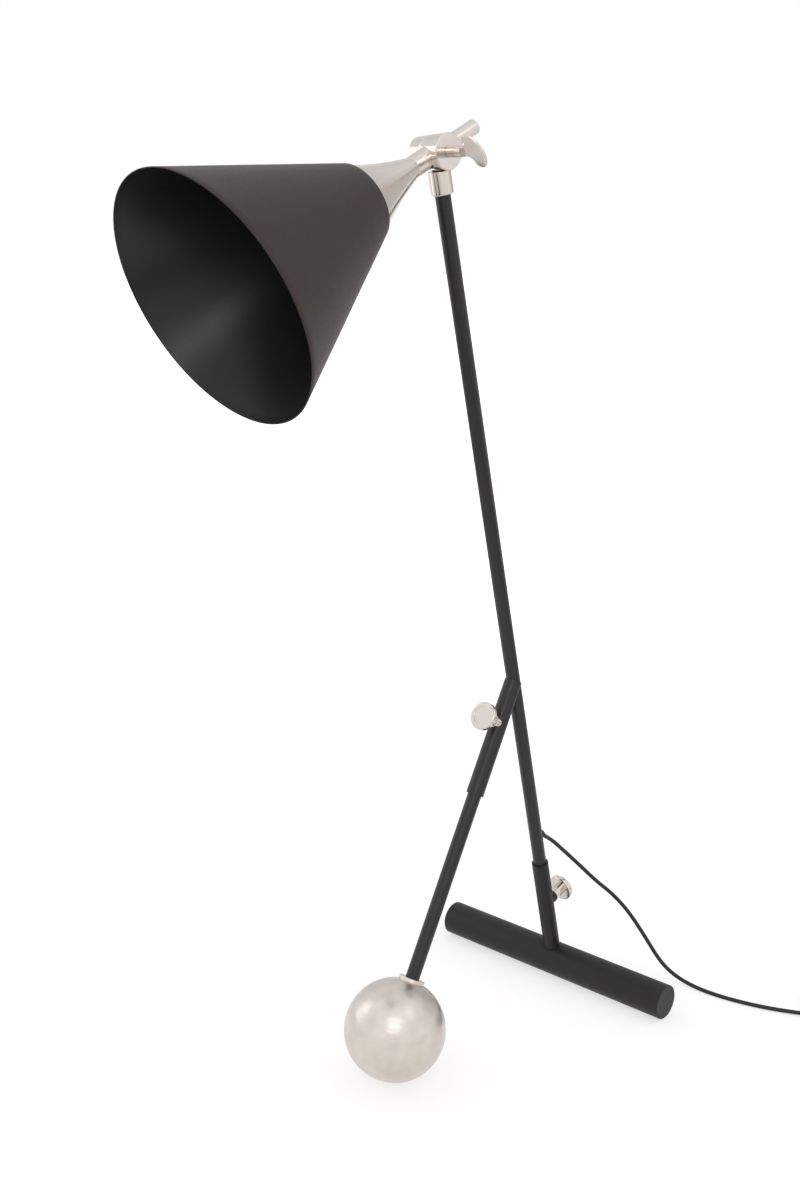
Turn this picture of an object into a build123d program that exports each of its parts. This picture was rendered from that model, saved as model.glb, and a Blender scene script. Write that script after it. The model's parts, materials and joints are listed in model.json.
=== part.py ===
from build123d import *
import math
import os

# Floor lamp: a round foot bar, a leaning telescopic post, a front leg that ends in a ball,
# and a cone shade on a swivel and tilt joint. Millimetres, +Z up, -Y is the front.

# Foot bar and its rubber pads
BAR_DIAMETER = 52.6
BAR_LENGTH = 414.5
BAR_EDGE = 1.0
PAD_LENGTH = 40.0
PAD_WIDTH = 10.0
PAD_POCKET = 2.5
PAD_PROUD = 0.5
PAD_INSET = 24.0

# Telescopic tubes, shared by the post and the leg
TUBE_DIAMETER = 20.0
TUBE_WALL = 1.5
SLEEVE_DIAMETER = 25.4
SLIDE_FIT = 0.1
RUNNING_FIT = 0.05
CLEAR = 0.3

# Post: lengths are measured along the post from the bar's axis
POST_LEAN = 13.95
SLEEVE_FLOOR = 10.0
LOWER_SLEEVE_TOP = 186.5
LOWER_SCREW_AT = 110.6
POST_BOTTOM = 42.0
LEG_MEETS_AT = 510.5
JOINT_AT = 1259.4
FERRULE_DIAMETER = 28.5
FERRULE_LENGTH = 29.2
FERRULE_ROOF = 6.0
FERRULE_EDGE = 1.2
FERRULE_DROP = 22.5

# Leg: drops are measured down the leg from where its axis meets the post's
LEG_LEAN = 29.85
BALL_DIAMETER = 142.9
BALL_WALL = 2.5
BALL_HOLE_DIAMETER = 18.0
BALL_BUSH_LENGTH = 22.0
COLLAR_DIAMETER = 37.0
COLLAR_STAND = 2.55
COLLAR_HEIGHT = 12.0
COLLAR_EDGE = 1.0
LEG_ROD_DROP = 41.7
LEG_PLUG_LENGTH = 12.0
LEG_INSERT_LENGTH = 30.0
LEG_SLEEVE_LENGTH = 174.3
LEG_SCREW_DROP = 66.2
LEG_STUD_DIAMETER = 10.0
LEG_STUD_LENGTH = 44.0

# Thumbscrews: heights are measured from the sleeve's axis
BOSS_DIAMETER = 20.0
BOSS_TOP = 19.0
BOSS_EDGE = 1.0
SCREW_DIAMETER = 6.0
SCREW_NECK_DIAMETER = 18.0
SCREW_NECK_LENGTH = 18.0
SCREW_DISC_DIAMETER = 41.0
SCREW_DISC_THICKNESS = 8.0
SCREW_DISC_EDGE = 2.0
SCREW_DISH_DIAMETER = 28.0
SCREW_DISH_DEPTH = 0.6

# Tilt joint: lengths along the barrel are measured from the post's axis, towards the wing screw
BARREL_FRONT = 22.5
BARREL_FRONT_DIAMETER = 45.2
BARREL_SPLIT = -10.0
BARREL_BACK = -33.0
BARREL_BACK_DIAMETER = 36.2
BARREL_EDGE = 1.0
BARREL_GROOVE = 0.8
BARREL_BACK_EDGE = 3.0
BARREL_WALL = 6.0
CORE_DIAMETER = 26.0
SPIGOT_DIAMETER = 32.0
SPIGOT_LENGTH = 8.0
CAP_HOLLOW_DIAMETER = 20.0
CAP_WALL = 4.0
FRICTION_WASHER = 1.0
STUD_DIAMETER = 10.0
STUD_SHOULDER_DIAMETER = 13.0
STUD_BORE = 7.0
STUD_SEAT = 12.0
STUD_THREAD = 8.0
STUD_TAIL = 2.0
SWIVEL_WASHER_DIAMETER = 18.0
SWIVEL_WASHER = 0.6
NUT_ACROSS = 14.0
NUT_HEIGHT = 4.0
WASHER_DIAMETER = 16.0
WASHER_THICKNESS = 1.2
WIRE_HOLE = 10.0
TILT_DOWN = 12.0
TILT_UP = 45.0
SLOT_SPARE = 1.5

# Wing screw: lengths run on along the barrel's axis
WING_SHANK_DIAMETER = 8.0
WING_SHANK_REACH = 7.0
WING_HUB_DIAMETER = 14.6
WING_HUB_LENGTH = 24.0
WING_SPAN = 49.0
WING_TIP = 79.7
WING_LOBE_RADIUS = 8.5
WING_LOBE_AT = 66.4
WING_CROWN_RADIUS = 37.0
WING_CROWN_ANGLE = 62.0
WING_ROOT = 4.0
WING_SHOULDER = 8.0
WING_THICKNESS = 4.5
WING_EDGE = 1.2
WING_TURN = 31.0

# Shade and stem: lengths along the shade's axis are measured from the joint
SHADE_PAN = 6.09
SHADE_DROP = 12.68
TAIL_DIAMETER = 19.6
TAIL_END = 72.0
TAIL_EDGE = 1.0
TAIL_SPIGOT_DIAMETER = 10.0
TAIL_SPIGOT_INSET = 1.0
NECK_DIAMETER = 26.8
NECK_BORE = 20.0
NECK_EDGE = 0.6
FLARE_START = 46.0
FLARE_START_DIAMETER = 26.0
FLARE_END_DIAMETER = 94.0
FLARE_SEAT_DIAMETER = 22.9
FLARE_SEAT_LENGTH = 14.0
FLARE_WALL = 1.5
FLARE_SINK = 2.0
FLARE_LIP = 8.0
NECK_ROOF = 6.0
CONE_START = 141.0
CONE_START_DIAMETER = 100.6
CONE_MOUTH = 382.3
CONE_MOUTH_DIAMETER = 316.4
CONE_WALL = 1.2

# Lampholder for an E27 bulb
NIPPLE_DIAMETER = 10.0
NIPPLE_BORE = 7.0
NIPPLE_TOP = 50.0
HOLDER_TOP = 74.0
HOLDER_LENGTH = 57.0
HOLDER_DIAMETER = 39.0
HOLDER_CAP_DIAMETER = 26.0
HOLDER_CAP_LENGTH = 12.0
HOLDER_NIPPLE_DEPTH = 10.0
HOLDER_FLOOR_AT = 20.0
HOLDER_EDGE = 1.0
SOCKET_DIAMETER = 26.8
SOCKET_LENGTH = 27.0
SOCKET_WALL = 0.6
SOCKET_RECESS = 3.0
CONTACT_DIAMETER = 9.0
CONTACT_HEIGHT = 2.5

# Cord: gland at the back of the post, free stretch, put-away coil, tie and plug
CORD_DIAMETER = 6.2
GLAND_AT = 244.0
GLAND_DROP = 30.0
GLAND_DIAMETER = 10.0
GLAND_FLANGE_DIAMETER = 13.0
GLAND_FLANGE = 2.5
GLAND_NOSE_DIAMETER = 8.4
GLAND_MOUTH = 24.0
GLAND_INNER = 4.0
INNER_CABLE_DIAMETER = 5.0
INNER_CABLE_BEND = 8.0
INNER_CABLE_OVERLAP = 5.0
CORD_LEAD = 40.0
CORD_IN_AIR = [
    (6.0, 351.0, 214.0),
    (17.0, 383.0, 180.0),
    (32.0, 409.0, 148.0),
    (50.0, 430.0, 124.0),
    (74.0, 442.0, 97.0),
    (104.0, 446.0, 62.0),
    (130.0, 448.0, 30.0),
    (152.0, 449.0, 14.0),
]
CORD_ON_FLOOR = [(184.0, 451.5), (234.0, 450.0), (300.0, 464.6)]
CORD_TO_COIL = [(362.0, 489.6), (405.0, 515.4)]
ROUND_SHARE = 0.45
COIL_RADIUS = 46.0
COIL_PITCH = 6.9
COIL_TURNS_IN = 3.0
COIL_TURNS_OUT = 2.75
COIL_TAIL_SPREAD = 9.0
COIL_STEPS_PER_TURN = 4
TIE_THICKNESS = 1.0
TIE_WIDTH = 10.0
TIE_SPARE = 1.0
TIE_GAP = 0.2
TIE_AT = 180.0
PLUG_LENGTH = 35.0
PLUG_WIDTH = 26.0
PLUG_NECK_WIDTH = 14.0
PLUG_HEIGHT = 13.7
PLUG_SHOULDER = 12.0
PLUG_EDGE = 2.0
RELIEF_LENGTH = 22.0
RELIEF_DIAMETER = 10.0
PIN_DIAMETER = 4.0
PIN_LENGTH = 19.0
PIN_SPACING = 18.6
PIN_ROOT = 4.0

# Directions and the places that follow from them
X = Vector(1, 0, 0)
BAR_RADIUS = BAR_DIAMETER / 2
BAR_AXIS_Z = BAR_RADIUS + PAD_PROUD
TUBE_RADIUS = TUBE_DIAMETER / 2
TUBE_BORE_RADIUS = TUBE_RADIUS - TUBE_WALL
SLEEVE_RADIUS = SLEEVE_DIAMETER / 2
SLEEVE_BORE_RADIUS = TUBE_RADIUS + SLIDE_FIT
BALL_RADIUS = BALL_DIAMETER / 2
lean = math.radians(POST_LEAN)
pan = math.radians(SHADE_PAN)
drop = math.radians(SHADE_DROP)
leg_lean = math.radians(LEG_LEAN)
post_up = Vector(0, -math.sin(lean), math.cos(lean))
post_back = Vector(0, math.cos(lean), math.sin(lean))
shade_out = (
    X * (-math.sin(pan) * math.cos(drop))
    + post_back * (-math.cos(pan) * math.cos(drop))
    + post_up * (-math.sin(drop))
)
barrel_out = post_up.cross(shade_out).normalized()

# The origin lies on the floor, midway between the bar's back and the front of the shade's rim.
rim_front = (
    post_up.Y * JOINT_AT
    + shade_out.Y * CONE_MOUTH
    - CONE_MOUTH_DIAMETER / 2 * math.sqrt(1 - shade_out.Y**2)
)
FOOT_Y = -(rim_front + BAR_RADIUS) / 2

POST = Plane(origin=(0, FOOT_Y, BAR_AXIS_Z), x_dir=X, z_dir=post_up)
JOINT = POST.from_local_coords(Vector(0, 0, JOINT_AT))
BARREL = Plane(origin=JOINT, x_dir=shade_out, z_dir=barrel_out)
SHADE = Plane(origin=JOINT, x_dir=barrel_out, z_dir=shade_out)
STUD = Plane(origin=JOINT, x_dir=X, z_dir=-post_up)

leg_up = Vector(0, math.sin(leg_lean), math.cos(leg_lean))
leg_meet = POST.from_local_coords(Vector(0, 0, LEG_MEETS_AT))
LEG_REACH = (leg_meet.Z - BALL_RADIUS) / leg_up.Z
LEG = Plane(origin=leg_meet - leg_up * LEG_REACH, x_dir=X, z_dir=leg_up)
LEG_ROD_TOP = LEG_REACH - LEG_ROD_DROP
COLLAR_TOP = BALL_RADIUS + COLLAR_STAND
FERRULE_TOP = JOINT_AT - FERRULE_DROP
FERRULE_SEAT = FERRULE_TOP - FERRULE_ROOF
STUD_END = FERRULE_DROP + FERRULE_ROOF + WASHER_THICKNESS + NUT_HEIGHT + STUD_TAIL
LEG_THREAD_RADIUS = LEG_STUD_DIAMETER / 2 + RUNNING_FIT
BARREL_FLOOR = BARREL_FRONT - BARREL_WALL
CORE_FACE = BARREL_FLOOR - FRICTION_WASHER - RUNNING_FIT
CONE_HALF_ANGLE = math.atan(
    (CONE_MOUTH_DIAMETER - CONE_START_DIAMETER) / 2 / (CONE_MOUTH - CONE_START)
)
SOCKET_OUTER_RADIUS = SOCKET_DIAMETER / 2 + SOCKET_WALL
SOCKET_MOUTH = HOLDER_TOP + HOLDER_LENGTH - SOCKET_RECESS

# Coil and plug frames: the coil starts where the cord's route ends, and the plug where the coil ends
COIL_TURNS = COIL_TURNS_IN + 0.5 + COIL_TURNS_OUT
COIL_LIFT = TIE_THICKNESS + TIE_GAP
COIL_Z = COIL_LIFT + CORD_DIAMETER / 2


def rod(radius, bottom, top):
    """Solid cylinder on the local Z axis between two heights."""
    return Pos(0, 0, bottom) * Cylinder(radius, top - bottom, align=(Align.CENTER, Align.CENTER, Align.MIN))


def tube(outer, inner, bottom, top):
    """Open tube on the local Z axis between two heights."""
    return rod(outer, bottom, top) - rod(inner, bottom, top)


def turned(points):
    """Solid turned about the local Z axis from a closed outline of (radius, height) points."""
    return revolve(Plane.XZ * make_face(Polyline(*points, close=True)), Axis.Z)


def top_edges(solid):
    return solid.edges().group_by(Axis.Z)[-1]


def bottom_edges(solid):
    return solid.edges().group_by(Axis.Z)[0]


def along_post(s, radial):
    """Plane on the post's axis at length s, with Z pointing along a radial direction."""
    return Plane(origin=POST.from_local_coords(Vector(0, 0, s)), x_dir=X, z_dir=radial)


def along_leg(u, radial):
    return Plane(origin=LEG.from_local_coords(Vector(0, 0, u)), x_dir=X, z_dir=radial)


LOWER_SCREW = along_post(LOWER_SCREW_AT, post_back)
LEG_SCREW = along_leg(LEG_REACH - LEG_SCREW_DROP, -LEG.y_dir)
gland_out = Vector(0, math.cos(math.radians(GLAND_DROP)), -math.sin(math.radians(GLAND_DROP)))
GLAND = along_post(GLAND_AT, gland_out)
SCREW_HOLE_RADIUS = SCREW_DIAMETER / 2 + CLEAR

route = [GLAND.from_local_coords(Vector(0, 0, reach)) for reach in (GLAND_INNER, CORD_LEAD)]
route += [Vector(*point) for point in CORD_IN_AIR]
route += [Vector(x, y, CORD_DIAMETER / 2) for x, y in CORD_ON_FLOOR]
route += [Vector(x, y, COIL_Z) for x, y in CORD_TO_COIL]


def foot_pads():
    pad_x = BAR_LENGTH / 2 - PAD_INSET - PAD_LENGTH / 2
    pad = Box(PAD_LENGTH, PAD_WIDTH, PAD_POCKET + PAD_PROUD, align=(Align.CENTER, Align.CENTER, Align.MIN))
    return [Pos(side * pad_x, FOOT_Y, 0) * pad for side in (-1, 1)]


def foot_bar():
    bar = Rot(0, 90, 0) * Cylinder(BAR_RADIUS, BAR_LENGTH)
    bar = chamfer(bar.edges().filter_by(GeomType.CIRCLE), BAR_EDGE)
    bar = Pos(0, FOOT_Y, BAR_AXIS_Z) * bar
    bar -= POST * rod(SLEEVE_RADIUS, SLEEVE_FLOOR, LOWER_SLEEVE_TOP)
    return bar - foot_pads()


def lower_sleeve():
    sleeve = POST * tube(SLEEVE_RADIUS, SLEEVE_BORE_RADIUS, SLEEVE_FLOOR, LOWER_SLEEVE_TOP)
    return sleeve - LOWER_SCREW * rod(SCREW_HOLE_RADIUS, 0, SLEEVE_DIAMETER)


def sleeve_boss(screw_plane, sleeve_form):
    """Round boss whose foot is hollowed to sit on the sleeve."""
    boss = rod(BOSS_DIAMETER / 2, 0, BOSS_TOP)
    boss = fillet(top_edges(boss), BOSS_EDGE)
    boss -= rod(SCREW_HOLE_RADIUS, 0, BOSS_TOP)
    return screw_plane * boss - sleeve_form


def thumbscrew():
    """Disc knob on a neck, with its threaded shank reaching the rod that it holds."""
    shank_tip = TUBE_RADIUS + CLEAR
    neck_foot = BOSS_TOP + CLEAR
    disc_back = neck_foot + SCREW_NECK_LENGTH
    disc_face = disc_back + SCREW_DISC_THICKNESS
    disc = rod(SCREW_DISC_DIAMETER / 2, disc_back, disc_face)
    disc = fillet(disc.edges().filter_by(GeomType.CIRCLE), SCREW_DISC_EDGE)
    disc -= rod(SCREW_DISH_DIAMETER / 2, disc_face - SCREW_DISH_DEPTH, disc_face)
    neck = rod(SCREW_NECK_DIAMETER / 2, neck_foot, disc_back)
    shank = rod(SCREW_DIAMETER / 2, shank_tip, neck_foot)
    return disc + neck + shank


def post_tube():
    post = POST * tube(TUBE_RADIUS, TUBE_BORE_RADIUS, POST_BOTTOM, FERRULE_SEAT)
    return post - GLAND * rod(GLAND_DIAMETER / 2, 0, GLAND_MOUTH)


def leg_sleeve():
    """Sleeve for the leg, cut square at the top and coped round the post."""
    bottom = LEG_REACH - LEG_SLEEVE_LENGTH
    sleeve = LEG * tube(SLEEVE_RADIUS, SLEEVE_BORE_RADIUS, bottom, LEG_REACH)
    sleeve -= POST * rod(TUBE_RADIUS, POST_BOTTOM, JOINT_AT)
    return sleeve - LEG_SCREW * rod(SCREW_HOLE_RADIUS, 0, SLEEVE_DIAMETER)


def post_ferrule():
    """Cap on the post's top; its roof carries the swivel stud."""
    ferrule = rod(FERRULE_DIAMETER / 2, FERRULE_TOP - FERRULE_LENGTH, FERRULE_TOP)
    ferrule = fillet(top_edges(ferrule) + bottom_edges(ferrule), FERRULE_EDGE)
    ferrule -= rod(TUBE_RADIUS, FERRULE_TOP - FERRULE_LENGTH, FERRULE_SEAT)
    ferrule -= rod(STUD_DIAMETER / 2 + RUNNING_FIT, FERRULE_SEAT, FERRULE_TOP)
    return POST * ferrule


def cord_gland():
    """Slanted bush through the post's back wall, with a flange outside and a tapered nose."""
    bore = CORD_DIAMETER / 2 + RUNNING_FIT
    wall_exit = TUBE_RADIUS / math.cos(math.radians(GLAND_DROP + POST_LEAN))
    bush = turned([
        (bore, GLAND_INNER),
        (GLAND_DIAMETER / 2, GLAND_INNER),
        (GLAND_DIAMETER / 2, wall_exit + GLAND_FLANGE),
        (GLAND_NOSE_DIAMETER / 2, GLAND_MOUTH),
        (bore, GLAND_MOUTH),
    ])
    flange = tube(GLAND_FLANGE_DIAMETER / 2, GLAND_DIAMETER / 2, 0, wall_exit + GLAND_FLANGE)
    return GLAND * bush + (GLAND * flange - POST * rod(TUBE_RADIUS, POST_BOTTOM, JOINT_AT))


def inner_cable():
    """Flex inside the post, from the cord's inner end up into the swivel stud."""
    start = GLAND.from_local_coords(Vector(0, 0, GLAND_INNER))
    turn = GLAND.origin
    end = POST.from_local_coords(Vector(0, 0, JOINT_AT - STUD_END + INNER_CABLE_OVERLAP))
    path = FilletPolyline(start, turn, end, radius=INNER_CABLE_BEND)
    return sweep(Plane(start, z_dir=-gland_out) * Circle(INNER_CABLE_DIAMETER / 2), path=path)


def leg_rod():
    return LEG * tube(TUBE_RADIUS, TUBE_BORE_RADIUS, COLLAR_TOP, LEG_ROD_TOP)


def leg_rod_plug():
    return LEG * rod(TUBE_BORE_RADIUS, LEG_ROD_TOP - LEG_PLUG_LENGTH, LEG_ROD_TOP)


def leg_rod_insert():
    return LEG * tube(TUBE_BORE_RADIUS, LEG_THREAD_RADIUS, COLLAR_TOP, COLLAR_TOP + LEG_INSERT_LENGTH)


def leg_stud():
    """Threaded stud that draws the ball and its collar up to the leg."""
    reach = LEG_STUD_LENGTH / 2
    return LEG * rod(LEG_STUD_DIAMETER / 2, COLLAR_TOP - reach, COLLAR_TOP + reach)


def ball():
    shell = Sphere(BALL_RADIUS) - Sphere(BALL_RADIUS - BALL_WALL)
    return LEG * (shell - rod(BALL_HOLE_DIAMETER / 2, 0, BALL_RADIUS))


def ball_bush():
    bush = tube(BALL_HOLE_DIAMETER / 2, LEG_THREAD_RADIUS, BALL_RADIUS - BALL_BUSH_LENGTH, BALL_RADIUS)
    return LEG * (bush & Sphere(BALL_RADIUS))


def ball_collar():
    """Washer hollowed underneath to sit on the ball."""
    collar = rod(COLLAR_DIAMETER / 2, COLLAR_TOP - COLLAR_HEIGHT, COLLAR_TOP)
    collar = fillet(top_edges(collar), COLLAR_EDGE)
    collar -= rod(LEG_THREAD_RADIUS, COLLAR_TOP - COLLAR_HEIGHT, COLLAR_TOP)
    return LEG * (collar - Sphere(BALL_RADIUS))


def barrel_radius(at):
    """Outer radius of the tapered barrel at a length along its axis."""
    share = (at - BARREL_BACK) / (BARREL_FRONT - BARREL_BACK)
    return (BARREL_BACK_DIAMETER + share * (BARREL_FRONT_DIAMETER - BARREL_BACK_DIAMETER)) / 2


def barrel_form():
    """The barrel's outer taper as a plain solid, for the stem pieces that are coped to it."""
    return BARREL * turned([
        (0, BARREL_BACK),
        (barrel_radius(BARREL_BACK), BARREL_BACK),
        (barrel_radius(BARREL_FRONT), BARREL_FRONT),
        (0, BARREL_FRONT),
    ])


def stud_slot():
    """Slot under the barrel that lets it tilt round the swivel stud, in the barrel's own frame."""
    half_width = STUD_SHOULDER_DIAMETER / 2 + CLEAR
    stud_angle = 90 - SHADE_DROP
    first = stud_angle - TILT_DOWN - SLOT_SPARE
    last = stud_angle + TILT_UP + SLOT_SPARE
    outer = BARREL_FRONT_DIAMETER
    band = Plane.XZ * make_face(Polyline(
        (0, -half_width), (outer, -half_width), (outer, half_width), (0, half_width), close=True
    ))
    slot = Rot(0, 0, first) * revolve(band, Axis.Z, revolution_arc=last - first)
    for angle in (first, last):
        slot += Rot(0, 0, angle) * Rot(0, 90, 0) * rod(half_width, 0, outer)
    return slot


def joint_drum():
    """Front half of the barrel: bored for the core, slotted for the stud, drilled for stem and wires."""
    spigot_end = BARREL_SPLIT - SPIGOT_LENGTH
    bore = CORE_DIAMETER / 2 + RUNNING_FIT
    hole = WING_SHANK_DIAMETER / 2 + CLEAR
    drum = turned([
        (bore, spigot_end),
        (SPIGOT_DIAMETER / 2, spigot_end),
        (SPIGOT_DIAMETER / 2, BARREL_SPLIT),
        (barrel_radius(BARREL_SPLIT) - BARREL_GROOVE, BARREL_SPLIT),
        (barrel_radius(BARREL_SPLIT + BARREL_GROOVE), BARREL_SPLIT + BARREL_GROOVE),
        (barrel_radius(BARREL_FRONT), BARREL_FRONT),
        (hole, BARREL_FRONT),
        (hole, BARREL_FLOOR),
        (bore, BARREL_FLOOR),
    ])
    rim = drum.edges().group_by(Axis.Z)[-1].sort_by(SortBy.RADIUS)[-1]
    drum = fillet(rim, BARREL_EDGE)
    drum -= stud_slot()
    drum -= Rot(0, 90, 0) * rod(WIRE_HOLE / 2, 0, BARREL_FRONT_DIAMETER)
    drum -= Rot(0, -90, 0) * rod(TAIL_SPIGOT_DIAMETER / 2 + RUNNING_FIT, 0, BARREL_FRONT_DIAMETER)
    return BARREL * drum


def rear_cap():
    """Tapered back half of the barrel, a cap over the drum's spigot."""
    seat = BARREL_SPLIT - SPIGOT_LENGTH - RUNNING_FIT
    bore = SPIGOT_DIAMETER / 2 + RUNNING_FIT
    return BARREL * turned([
        (bore, BARREL_SPLIT),
        (barrel_radius(BARREL_SPLIT) - BARREL_GROOVE, BARREL_SPLIT),
        (barrel_radius(BARREL_SPLIT - BARREL_GROOVE), BARREL_SPLIT - BARREL_GROOVE),
        (barrel_radius(BARREL_BACK + BARREL_BACK_EDGE), BARREL_BACK + BARREL_BACK_EDGE),
        (barrel_radius(BARREL_BACK) - BARREL_BACK_EDGE, BARREL_BACK),
        (0, BARREL_BACK),
        (0, BARREL_BACK + CAP_WALL),
        (CAP_HOLLOW_DIAMETER / 2, BARREL_BACK + CAP_WALL),
        (CAP_HOLLOW_DIAMETER / 2, seat),
        (bore, seat),
    ])


def tilt_core():
    """Spindle that the barrel turns on, fixed to the swivel stud, with a window for the wires."""
    back = BARREL_SPLIT - SPIGOT_LENGTH + CLEAR
    core = rod(CORE_DIAMETER / 2, back, CORE_FACE)
    core -= rod(WING_SHANK_DIAMETER / 2 + RUNNING_FIT, WING_SHANK_REACH - RUNNING_FIT, CORE_FACE)
    window = Plane.XZ * make_face(Polyline(
        (0, -WIRE_HOLE / 2), (CORE_DIAMETER, -WIRE_HOLE / 2), (CORE_DIAMETER, WIRE_HOLE / 2),
        (0, WIRE_HOLE / 2), close=True
    ))
    core -= Rot(0, 0, -TILT_UP) * revolve(window, Axis.Z, revolution_arc=TILT_UP + TILT_DOWN)
    core = BARREL * core
    core -= STUD * rod(STUD_DIAMETER / 2 + RUNNING_FIT, 0, CORE_DIAMETER)
    return core - STUD * rod(STUD_SHOULDER_DIAMETER / 2 + RUNNING_FIT, STUD_SEAT, CORE_DIAMETER)


def swivel_stud():
    """Hollow threaded stud with a shoulder that stands on the ferrule's roof."""
    shoulder_foot = FERRULE_DROP - SWIVEL_WASHER - RUNNING_FIT
    stud = rod(STUD_DIAMETER / 2, STUD_SEAT - STUD_THREAD, STUD_END)
    stud += rod(STUD_SHOULDER_DIAMETER / 2, STUD_SEAT, shoulder_foot)
    return STUD * (stud - rod(STUD_BORE / 2, 0, STUD_END))


def swivel_washer():
    top = FERRULE_DROP - RUNNING_FIT
    return STUD * tube(SWIVEL_WASHER_DIAMETER / 2, STUD_DIAMETER / 2 + RUNNING_FIT, top - SWIVEL_WASHER, top)


def stud_washer():
    top = FERRULE_DROP + FERRULE_ROOF + RUNNING_FIT
    return STUD * tube(WASHER_DIAMETER / 2, STUD_DIAMETER / 2 + RUNNING_FIT, top, top + WASHER_THICKNESS)


def stud_nut():
    top = FERRULE_DROP + FERRULE_ROOF + RUNNING_FIT + WASHER_THICKNESS
    nut = extrude(RegularPolygon(NUT_ACROSS / 2, 6, major_radius=False), NUT_HEIGHT)
    return STUD * (Pos(0, 0, top) * (nut - rod(STUD_DIAMETER / 2 + RUNNING_FIT, 0, NUT_HEIGHT)))


def friction_washer():
    hole = WING_SHANK_DIAMETER / 2 + CLEAR
    return BARREL * tube(CORE_DIAMETER / 2 - CLEAR, hole, BARREL_FLOOR - FRICTION_WASHER, BARREL_FLOOR)


def wing_outline(hub_end):
    """Wing drawn as (span, length): two round lobes, a domed outer edge and hollow shoulders."""
    lobe_x = WING_SPAN / 2 - WING_LOBE_RADIUS
    hub = WING_HUB_DIAMETER / 2
    shoulder_y = WING_LOBE_AT - WING_LOBE_RADIUS
    crown = CenterArc(
        (0, WING_TIP - WING_CROWN_RADIUS), WING_CROWN_RADIUS, 90 - WING_CROWN_ANGLE / 2, WING_CROWN_ANGLE
    )
    lobes = [Pos(side * lobe_x, WING_LOBE_AT) * Circle(WING_LOBE_RADIUS) for side in (-1, 1)]
    plate = make_hull(crown.edges() + lobes[0].edges() + lobes[1].edges())
    neck = make_face(Polyline(
        (-hub, hub_end - WING_ROOT), (hub, hub_end - WING_ROOT),
        (hub, shoulder_y + WING_ROOT), (-hub, shoulder_y + WING_ROOT), close=True
    ))
    outline = plate + neck
    return fillet(outline.vertices().group_by(Axis.Y)[1], WING_SHOULDER)


def wing_screw():
    """Clamp screw with a turned hub and a flat two-lobed wing."""
    seat = BARREL_FRONT + CLEAR
    hub_end = seat + WING_HUB_LENGTH
    screw = rod(WING_SHANK_DIAMETER / 2, WING_SHANK_REACH, seat)
    screw += rod(WING_HUB_DIAMETER / 2, seat, hub_end)
    wing = extrude(Plane.XZ * wing_outline(hub_end), WING_THICKNESS / 2, both=True)
    wing = fillet(wing.edges().filter_by(Plane.XZ), WING_EDGE)
    return BARREL * (screw + Rot(0, 0, 90 - SHADE_DROP + WING_TURN) * wing)


def tail_rod():
    """Rod behind the barrel, a handle for aiming the shade, with a spigot in the drum's wall."""
    tail = rod(TAIL_DIAMETER / 2, -TAIL_END, 0)
    tail = fillet(bottom_edges(tail), TAIL_EDGE)
    tail = SHADE * tail - barrel_form()
    spigot_tip = CORE_DIAMETER / 2 + TAIL_SPIGOT_INSET
    spigot_root = barrel_radius(BARREL_FRONT)
    return tail + SHADE * rod(TAIL_SPIGOT_DIAMETER / 2, -spigot_root, -spigot_tip)


def neck_tube():
    """Neck between the barrel and the flare, with a spigot that the flare seats on."""
    seat_end = FLARE_START + FLARE_SEAT_LENGTH
    neck = rod(NECK_DIAMETER / 2, 0, FLARE_START)
    neck = chamfer(top_edges(neck), NECK_EDGE)
    neck += rod(FLARE_SEAT_DIAMETER / 2, FLARE_START, seat_end)
    neck -= rod(NECK_BORE / 2, 0, seat_end - NECK_ROOF)
    neck -= rod(NIPPLE_DIAMETER / 2 + RUNNING_FIT, 0, seat_end)
    return SHADE * neck - barrel_form()


def shade_flare():
    """Trumpet between neck and cone; its lower lip is a ring that fits inside the cone."""
    slope = math.tan(CONE_HALF_ANGLE)
    towards_apex = (-math.sin(CONE_HALF_ANGLE), -math.cos(CONE_HALF_ANGLE))
    start = FLARE_START_DIAMETER / 2
    end = FLARE_END_DIAMETER / 2
    seat = FLARE_SEAT_DIAMETER / 2 + RUNNING_FIT
    seat_end = FLARE_START + FLARE_SEAT_LENGTH
    chord = math.atan((end - start) / (CONE_START - FLARE_START))
    start_slope = math.tan(2 * chord - CONE_HALF_ANGLE)
    inner_start = start + FLARE_SEAT_LENGTH * start_slope - FLARE_WALL
    lip_outer = CONE_START_DIAMETER / 2 - CONE_WALL / math.cos(CONE_HALF_ANGLE) - RUNNING_FIT
    lip_inner = end - FLARE_WALL
    lip_start = CONE_START + FLARE_SINK
    lip_end = CONE_START + FLARE_LIP
    outside = TangentArc((end, CONE_START), (start, FLARE_START), tangent=towards_apex)
    inside = TangentArc((lip_inner, CONE_START), (inner_start, seat_end), tangent=towards_apex)
    socket = Polyline((start, FLARE_START), (seat, FLARE_START), (seat, seat_end), (inner_start, seat_end))
    lip = Polyline(
        (lip_inner, CONE_START),
        (lip_inner + FLARE_LIP * slope, lip_end),
        (lip_outer + FLARE_LIP * slope, lip_end),
        (lip_outer + FLARE_SINK * slope, lip_start),
        (end + FLARE_SINK * slope, lip_start),
        (end, CONE_START),
    )
    profile = make_face([outside] + socket.edges() + [inside] + lip.edges())
    return SHADE * revolve(Plane.XZ * profile, Axis.Z)


def shade_cone():
    wall = CONE_WALL / math.cos(CONE_HALF_ANGLE)
    return SHADE * turned([
        (CONE_START_DIAMETER / 2, CONE_START),
        (CONE_MOUTH_DIAMETER / 2, CONE_MOUTH),
        (CONE_MOUTH_DIAMETER / 2 - wall, CONE_MOUTH),
        (CONE_START_DIAMETER / 2 - wall, CONE_START),
    ])


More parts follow.
